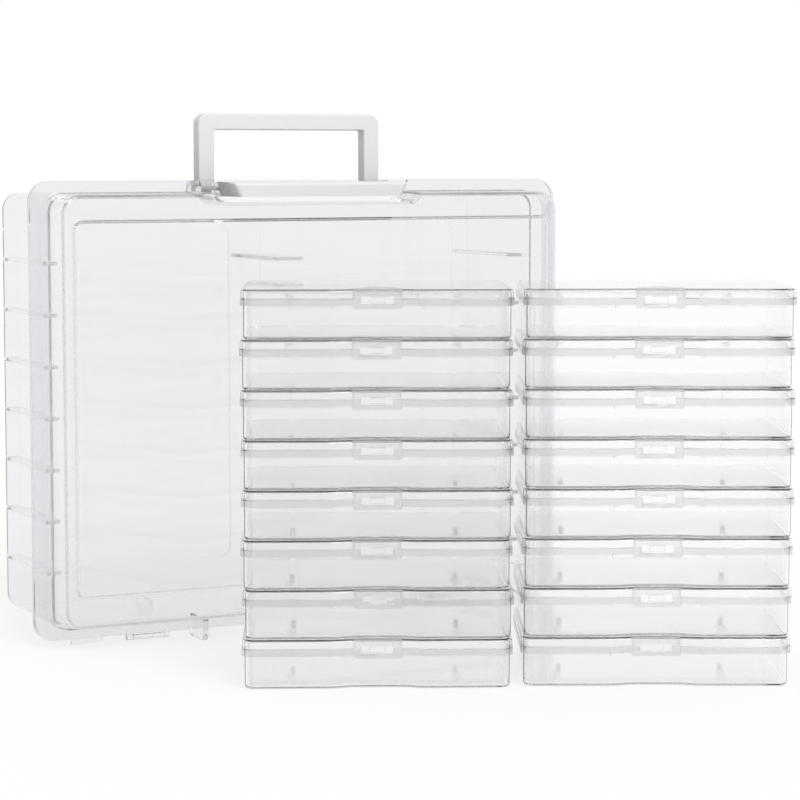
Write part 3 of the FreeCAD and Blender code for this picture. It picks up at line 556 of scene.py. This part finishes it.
def add_lug(lid, side, s):
    """Adds a lug behind the skirt, with the peg that turns in the tray's ear."""
    lug = span("lug", side, 55.3, 57.7, (117.2, 121.2), (16.6, 24.7))
    shift(lug, lambda co: co.z > 24 * MM and co.y > 119 * MM, (0, -3.2 * MM, 0))
    round_off(lug, 0.4 * MM, 2)
    unite(lug, rod("peg", side, 52.6, 56.5, (s.hinge_back, s.hinge_up), PEG_RADIUS))
    unite(lid, lug)


def mark_band(lid, s):
    """Marks the faces of the skirt's band and of the tab, which frost_band frosts."""
    band_top, margin = s.height - s.skirt + s.band, 0.1 * MM
    frosted = lid.data.attributes.new("band", "FLOAT", "FACE")
    for face in lid.data.polygons:
        x, y, z = face.center
        in_depth = s.tab_front - s.wall / 10 < y < s.tab_front + TAB_THICKNESS + margin
        in_tab = abs(x) < TAB_HALF + margin and in_depth
        frosted.data[face.index].value = float(z < band_top or in_tab)


def add_flange(piece, s, rim, wide, low, high):
    """Widens the open rim of one half of the case to the flange's outline."""
    middle = (low + high) / 2
    near_wall = 0.3 * MM

    def on_rim(co):
        return abs(co.y - rim) < NEAR

    def at_wall(co):
        in_width = abs(co.x) < wide + near_wall
        return on_rim(co) and in_width and low - near_wall < co.z < high + near_wall

    pick(piece, "EDGE", lambda a, b: on_rim(a) and on_rim(b))
    bpy.ops.mesh.extrude_region_move(TRANSFORM_OT_translate={"value": (0, 0, 0)})
    grow = (s.width / 2 / wide, 1, s.height / (high - low))
    bpy.ops.transform.resize(value=grow, center_override=(0, rim, middle))
    bpy.ops.transform.translate(value=(0, 0, s.lift + s.height / 2 - middle))
    bevel(piece, lambda a, b: at_wall(a) and at_wall(b), 1.2 * MM, 3)


def add_foot(piece, side, depths, top):
    """Adds a narrow foot with rounded lower ends."""
    foot = span("foot", side, 84, 88, depths, (0.2, top))
    bevel(foot, lambda a, b: max(a.z, b.z) < 1 * MM and abs(a.x - b.x) > NEAR, 4 * MM, 5)
    round_off(foot, 0.4 * MM, 2)
    unite(piece, foot)


def add_barrel(piece, side, inner, outer, web_depths):
    """Adds a barrel of the case's hinge with the web that carries it."""
    barrel = rod("barrel", side, inner, outer, CASE_HINGE, BARREL_RADIUS)
    unite(barrel, span("web", side, inner, outer, web_depths, (1.9, 6)))
    unite(piece, barrel)


def case_lid_shell(s):
    """The front lid's walls with the raised field, and its flange."""
    low, high = s.lift + 8.2 * MM, s.lift + s.height - 8.2 * MM
    wide, center = s.width / 2 - 8.5 * MM, s.lift + s.height / 2
    root, front, rise = -5.3 * MM, -s.lid_depth, 3.5 * MM

    def in_field(co):
        return abs(co.x) < 179.6 * MM and 35.4 * MM < co.z < 286.3 * MM

    def in_front(a, b):
        return max(a.y, b.y) < front + NEAR

    def under_field(co):
        return abs(co.y - front) < NEAR and in_field(co)

    lid = block("case_front_lid", (-wide, front, low), (wide, root, high))
    bevel(lid, lambda a, b: abs(a.y - b.y) > NEAR, 13 * MM, 8)
    draft = (185.6 / 190, 1, 0.988)
    stretch(lid, lambda co: co.y < front + NEAR, draft, (0, front, center))
    bpy.ops.transform.translate(value=(0, 0, 1.15 * MM))
    pick(lid, "FACE", lambda middle, normal: normal.y < -0.9)
    bpy.ops.mesh.inset(thickness=6.1 * MM)
    bpy.ops.transform.resize(value=(1, 1, 0.911), center_override=(0, front, center + 1.15 * MM))
    bpy.ops.transform.translate(value=(0, 0, 1.85 * MM))
    bpy.ops.mesh.extrude_region_move(TRANSFORM_OT_translate={"value": (0, -rise, 0)})
    bevel(lid, lambda a, b: in_front(a, b) and not in_field(a) and not in_field(b), 2.2 * MM, 3)
    bevel(lid, lambda a, b: max(a.y, b.y) < front - rise + 0.1 * MM, 1.1 * MM, 3)
    bevel(lid, lambda a, b: under_field(a) and under_field(b), 0.9 * MM, 2)
    open_up(lid, lambda middle, normal: middle.y > root - NEAR)
    add_flange(lid, s, root, wide, low, high)
    thicken(lid, 2.2 * MM)
    round_off(lid, 0.7 * MM, 3)
    return lid


def trough(name, floor, halves, depths, heights, radius):
    """A block across the middle that widens upward, with rounded lower edges."""
    bottom, top = halves
    low = (-bottom * MM, depths[0], floor + heights[0] * MM)
    piece = block(name, low, (bottom * MM, depths[1], floor + heights[1] * MM))
    stretch(piece, lambda co: co.z > floor + NEAR, (top / bottom, 1, 1), (0, 0, floor))
    bevel(piece, lambda a, b: max(a.z, b.z) < floor + NEAR and abs(a.y - b.y) > NEAR, radius, 5)
    return piece


def cut_latch_bay(lid, s):
    """Lines and cuts the bay in the top of the lid, where the latch lies."""
    front, floor = -s.lid_depth, s.lift + s.height - 14.7 * MM
    unite(lid, trough("liner", floor, (76, 80), (front + 1 * MM, -3.2 * MM), (-2, 6), 6 * MM))
    bay = trough("bay", floor, (73, 83), (front - 8 * MM, 4 * MM), (0, 20), 5 * MM)
    combine(lid, bay, "DIFFERENCE")


def body_outline(s):
    """Half the body's width, and the heights of its underside and its top."""
    return s.width / 2 - 15.1 * MM, s.lift + 5.4 * MM, s.lift + s.height - 8.9 * MM


def case_body_shell(s):
    """The rear half's walls, and its flange."""
    wide, low, high = body_outline(s)
    body = block("case_rear_body", (-wide, 0, low), (wide, s.body_depth, high))
    bevel(body, lambda a, b: abs(a.y - b.y) > NEAR, 12 * MM, 8)
    bevel(body, lambda a, b: min(a.y, b.y) > s.body_depth - NEAR, 3 * MM, 4)
    open_up(body, lambda middle, normal: middle.y < NEAR)
    add_flange(body, s, 0, wide, low, high)
    thicken(body, 2.1 * MM)
    round_off(body, 0.6 * MM, 2)
    return body


def divider_with_shelves(s):
    """The wall in the middle of the body, with its short shelves."""
    _, low, high = body_outline(s)
    back = s.body_depth - 1 * MM
    start = (-1.25 * MM, 30 * MM, low + 1 * MM)
    divider = block("divider", start, (1.25 * MM, back, high - 1 * MM))
    round_off(divider, 0.4 * MM, 2)
    for under in SHELF_UNDERSIDES:
        shelf = slab("shelf", 11.25, (19, back / MM), (under, under + SHELF_THICKNESS))
        bevel(shelf, lambda a, b: max(a.y, b.y) < 20 * MM and abs(a.z - b.z) > NEAR, 4 * MM, 4)
        round_off(shelf, 0.4 * MM, 1)
        unite(divider, shelf)
    return divider


def add_side_shelves(body, side, s):
    """Adds the shelves along one side wall."""

    def at_corner(co):
        return abs(co.x) < 172 * MM and co.y < 12 * MM

    wall = body_outline(s)[0] / MM - 0.8
    depths = (11, s.body_depth / MM - 1)
    for under in SHELF_UNDERSIDES:
        shelf = span("shelf", side, 171.4, wall, depths, (under, under + SHELF_THICKNESS))
        bevel(shelf, lambda a, b: at_corner(a) and at_corner(b), 6 * MM, 4)
        round_off(shelf, 0.4 * MM, 1)
        unite(body, shelf)


def add_body_fittings(body, side, s):
    """Adds one side's back panel, handle bracket, feet and hinge barrels."""
    back = s.body_depth / MM
    panel = span("panel", side, 12.5, 170.9, (back - 0.6, back + 2), (36, 279))
    bevel(panel, lambda a, b: abs(a.y - b.y) > NEAR, 8 * MM, 5)
    combine(body, panel, "DIFFERENCE")
    bracket = span("bracket", side, 69.2, 73.7, (14, 32), (301, 311.1))
    bevel(bracket, lambda a, b: min(a.y, b.y) > 31 * MM and min(a.z, b.z) > 310 * MM, 6 * MM, 5)
    round_off(bracket, 0.5 * MM, 2)
    bore = rod("bore", side, 60, 80, HANDLE_PINS, HANDLE_BORE_RADIUS)
    combine(bracket, bore, "DIFFERENCE")
    unite(body, bracket)
    add_foot(body, side, (72, 96), 10.5)
    corner = span("corner_foot", side, 150, 172, (-2.2, -0.1), (0.2, 6))
    round_off(corner, 0.4 * MM, 2)
    unite(body, corner)
    for start in (101.6, 128.9):
        add_barrel(body, side, start, start + 4, (-2.4, -0.1))


class KEEPER_OT_materials(bpy.types.Operator):
    """Makes the clear plastics and the milky one"""

    bl_idname = "keeper.materials"
    bl_label = "Make materials"

    def execute(self, context):
        finish = context.scene.keeper_finish
        clear = moulded_material("Clear photo case", finish.clear, PHOTO_CASE_DENSITY)
        frost_band(clear, finish)
        moulded_material("Clear carrying case", finish.case, CARRYING_CASE_DENSITY)
        moulded_material("Milky polypropylene", finish.white)
        return {"FINISHED"}


class KEEPER_OT_photo_trays(bpy.types.Operator):
    """Models one photo tray and lays it in all sixteen places"""

    bl_idname = "keeper.photo_trays"
    bl_label = "Photo trays"

    def execute(self, context):
        s = context.scene.keeper_photo_case
        tray = tray_shell(s)
        unite(tray, tray_catch(s))
        for side in MIRRORED:
            add_tray_mouldings(tray, side, s)
        smooth(tray)
        dress(tray, bpy.data.materials["Clear photo case"])
        lay_out(tray, "tray")
        return {"FINISHED"}


class KEEPER_OT_photo_lids(bpy.types.Operator):
    """Models one photo lid with its tab and lugs and lays it in all sixteen places"""

    bl_idname = "keeper.photo_lids"
    bl_label = "Photo lids"

    def execute(self, context):
        s = context.scene.keeper_photo_case
        lid = photo_lid_shell(s)
        cut_window(lid, photo_lid_tab(s), s)
        for side in MIRRORED:
            add_lug(lid, side, s)
        smooth(lid)
        dress(lid, bpy.data.materials["Clear photo case"])
        mark_band(lid, s)
        lay_out(lid, "lid")
        return {"FINISHED"}


class KEEPER_OT_case_body(bpy.types.Operator):
    """Models the deep rear half of the carrying case with shelves, divider and brackets"""

    bl_idname = "keeper.case_body"
    bl_label = "Case body"

    def execute(self, context):
        s = context.scene.keeper_case
        body = case_body_shell(s)
        unite(body, divider_with_shelves(s))
        for side in MIRRORED:
            add_side_shelves(body, side, s)
            add_body_fittings(body, side, s)
        settle_in_case(body, "case_body", "case_body", "clear_case")
        return {"FINISHED"}


class KEEPER_OT_case_lid(bpy.types.Operator):
    """Models the front lid of the carrying case with its bay, feet and barrels"""

    bl_idname = "keeper.case_lid"
    bl_label = "Case lid"

    def execute(self, context):
        s = context.scene.keeper_case
        lid = case_lid_shell(s)
        cut_latch_bay(lid, s)
        for side in MIRRORED:
            ear = span("latch_ear", side, 66.4, 69.4, (-11.2, -3.4), (296, 309.8))
            round_off(ear, 0.8 * MM, 2)
            unite(lid, ear)
            add_foot(lid, side, (-30.6, -6.5), 16.2)
            add_barrel(lid, side, 106, 128.5, (-5.2, -2.9))
        settle_in_case(lid, "case_lid", "case_lid", "clear_lid")
        return {"FINISHED"}


class KEEPER_OT_latch(bpy.types.Operator):
    """Models the latch, a milky cap open below"""

    bl_idname = "keeper.latch"
    bl_label = "Latch"

    def execute(self, context):
        low, top = 300.7 * MM, 310.6 * MM

        def on_top(a, b):
            return min(a.z, b.z) > top - NEAR

        latch = slab("latch", 66, (-36, -3), (low / MM, top / MM))
        stretch(latch, lambda co: co.z < low + NEAR, (61 / 66, 1, 1), (0, 0, low))
        bevel(latch, lambda a, b: on_top(a, b) and min(a.y, b.y) > -4 * MM, 4.1 * MM, 6)
        bevel(latch, lambda a, b: abs(a.z - b.z) > 8 * MM and max(a.y, b.y) < -35 * MM, 3 * MM, 4)
        bevel(latch, lambda a, b: on_top(a, b) and max(a.y, b.y) < -30 * MM, 2.6 * MM, 5)
        open_up(latch, lambda middle, normal: middle.z < low + NEAR)
        thicken(latch, 2.2 * MM)
        round_off(latch, 0.4 * MM, 2)
        for side in MIRRORED:
            unite(latch, rod("pin", side, 60.5, 69.2, LATCH_PINS, LATCH_PIN_RADIUS))
        settle_in_case(latch, "lid_latch", "lid_latch", "white_plastic")
        return {"FINISHED"}


class KEEPER_OT_handle(bpy.types.Operator):
    """Models the handle, a bail with rounded edges on two pins"""

    bl_idname = "keeper.handle"
    bl_label = "Handle"

    def execute(self, context):
        def in_corner(a, b, height):
            return abs(a.y - b.y) > NEAR and min(a.z, b.z) > height * MM

        handle = slab("handle", 68.8, (18.05, 28.55), (303.05, 357.3))
        bevel(handle, lambda a, b: in_corner(a, b, 357), 7 * MM, 8)
        opening = slab("opening", 57.3, (10, 40), (290, 346))
        bevel(opening, lambda a, b: in_corner(a, b, 345), 1.5 * MM, 4)
        combine(handle, opening, "DIFFERENCE")
        lower = 304 * MM
        bevel(handle, lambda a, b: max(a.z, b.z) < lower and abs(a.x - b.x) > NEAR, 5 * MM, 6)
        round_off(handle, 1.1 * MM, 3)
        for side in MIRRORED:
            unite(handle, rod("pin", side, 64, 72.6, HANDLE_PINS, HANDLE_PIN_RADIUS))
        settle_in_case(handle, "carry_handle", "carry_handle", "white_plastic")
        return {"FINISHED"}


def seen_directly(nodes, links):
    """1 for a ray from the camera, a reflection or through clear plastic, else 0."""
    rays = nodes.new("ShaderNodeLightPath")
    total = rays.outputs["Is Camera Ray"]
    for name in ("Is Glossy Ray", "Is Transmission Ray"):
        add = nodes.new("ShaderNodeMath")
        add.operation = "MAXIMUM"
        links.new(total, add.inputs[0])
        links.new(rays.outputs[name], add.inputs[1])
        total = add.outputs["Value"]
    return total


def lay_floor(finish):
    """A wide white floor that glows where it is seen, so that it meets the backdrop unseen."""
    bpy.ops.mesh.primitive_plane_add(size=FLOOR_SIZE, location=(0, 0, -0.0005))
    floor = bpy.context.object
    floor.name = "floor"
    material = bpy.data.materials.new("White floor")
    material.use_nodes = True
    nodes, links = material.node_tree.nodes, material.node_tree.links
    shader = nodes["Principled BSDF"]
    set_inputs(shader, {"Base Color": (*finish.floor, 1)})
    set_inputs(shader, {"Roughness": 0.9, "Specular IOR Level": 0})
    glow = nodes.new("ShaderNodeEmission")
    share = nodes.new("ShaderNodeMath")
    share.operation = "MULTIPLY"
    share.inputs[1].default_value = FLOOR_GLOW
    links.new(seen_directly(nodes, links), share.inputs[0])
    blend = nodes.new("ShaderNodeMixShader")
    links.new(share.outputs["Value"], blend.inputs["Fac"])
    links.new(shader.outputs["BSDF"], blend.inputs[1])
    links.new(glow.outputs["Emission"], blend.inputs[2])
    links.new(blend.outputs["Shader"], nodes["Material Output"].inputs["Surface"])
    dress(floor, material)


def surround(scene, finish):
    """White all round, with a dim ceiling that draws the clear plastic's rounded edges."""
    world = bpy.data.worlds.new("Studio")
    world.use_nodes = True
    scene.world = world
    nodes, links = world.node_tree.nodes, world.node_tree.links
    back, white = nodes["Background"], nodes.new("ShaderNodeBackground")
    set_inputs(back, {"Color": (1, 1, 1, 1), "Strength": finish.fill})
    direction = nodes.new("ShaderNodeTexCoord")
    split = nodes.new("ShaderNodeSeparateXYZ")
    links.new(direction.outputs["Generated"], split.inputs["Vector"])
    ceiling = nodes.new("ShaderNodeMapRange")
    set_inputs(ceiling, {"From Min": CEILING_START, "From Max": CEILING_FULL})
    set_inputs(ceiling, {"To Min": 1, "To Max": finish.ceiling})
    links.new(split.outputs["Z"], ceiling.inputs["Value"])
    links.new(ceiling.outputs["Result"], white.inputs["Color"])
    blend = nodes.new("ShaderNodeMixShader")
    links.new(seen_directly(nodes, links), blend.inputs["Fac"])
    links.new(back.outputs["Background"], blend.inputs[1])
    links.new(white.outputs["Background"], blend.inputs[2])
    links.new(blend.outputs["Shader"], nodes["World Output"].inputs["Surface"])


def light_key(finish):
    settle()
    bpy.ops.object.light_add(type="SUN", location=(0.9, -1.7, 1.7))
    key = bpy.context.object
    key.name = "key_light"
    key.rotation_euler = Vector(KEY_DIRECTION).to_track_quat("Z", "Y").to_euler()
    key.data.energy = finish.key
    key.data.angle = KEY_SPREAD


def place_camera(scene):
    camera_data = bpy.data.cameras.new("camera")
    camera_data.sensor_width = 36
    camera_data.lens = CAMERA_LENS
    camera = bpy.data.objects.new("camera", camera_data)
    scene.collection.objects.link(camera)
    camera.location = CAMERA_PLACE
    camera.rotation_euler = (CAMERA_TILT, 0, 0)
    scene.camera = camera


class KEEPER_OT_stage(bpy.types.Operator):
    """Lays the floor and sets lights and camera"""

    bl_idname = "keeper.stage"
    bl_label = "Set the stage"

    def execute(self, context):
        scene = context.scene
        lay_floor(scene.keeper_finish)
        surround(scene, scene.keeper_finish)
        light_key(scene.keeper_finish)
        place_camera(scene)
        scene.view_settings.view_transform = "Standard"
        scene.cycles.max_bounces = BOUNCES
        scene.cycles.transmission_bounces = BOUNCES
        scene.cycles.glossy_bounces = BOUNCES
        scene.cycles.transparent_max_bounces = BOUNCES
        return {"FINISHED"}


class KEEPER_PT_panel(bpy.types.Panel):
    """Sizes, finishes and steps of the photo keeper set"""

    bl_idname = "KEEPER_PT_panel"
    bl_label = "Photo keeper"
    bl_space_type = "VIEW_3D"
    bl_region_type = "UI"
    bl_category = "Photo keeper"

    def draw(self, context):
        scene = context.scene
        for group in (scene.keeper_photo_case, scene.keeper_case, scene.keeper_finish):
            box = self.layout.box()
            for name in group.bl_rna.properties.keys():
                if name not in ("rna_type", "name"):
                    box.prop(group, name)
        for step in STEPS:
            self.layout.operator(f"keeper.{step}")


STEPS = (
    "materials",
    "photo_trays",
    "photo_lids",
    "case_body",
    "case_lid",
    "latch",
    "handle",
    "stage",
)
CLASSES = (
    PhotoCaseSizes,
    CarryingCaseSizes,
    Finishes,
    KEEPER_OT_materials,
    KEEPER_OT_photo_trays,
    KEEPER_OT_photo_lids,
    KEEPER_OT_case_body,
    KEEPER_OT_case_lid,
    KEEPER_OT_latch,
    KEEPER_OT_handle,
    KEEPER_OT_stage,
    KEEPER_PT_panel,
)


def register():
    for item in CLASSES:
        bpy.utils.register_class(item)
    bpy.types.Scene.keeper_photo_case = PointerProperty(type=PhotoCaseSizes)
    bpy.types.Scene.keeper_case = PointerProperty(type=CarryingCaseSizes)
    bpy.types.Scene.keeper_finish = PointerProperty(type=Finishes)


def unregister():
    del bpy.types.Scene.keeper_finish
    del bpy.types.Scene.keeper_case
    del bpy.types.Scene.keeper_photo_case
    for item in reversed(CLASSES):
        bpy.utils.unregister_class(item)


def main():
    register()
    for step in STEPS:
        getattr(bpy.ops.keeper, step)()


if __name__ == "__main__":
    main()
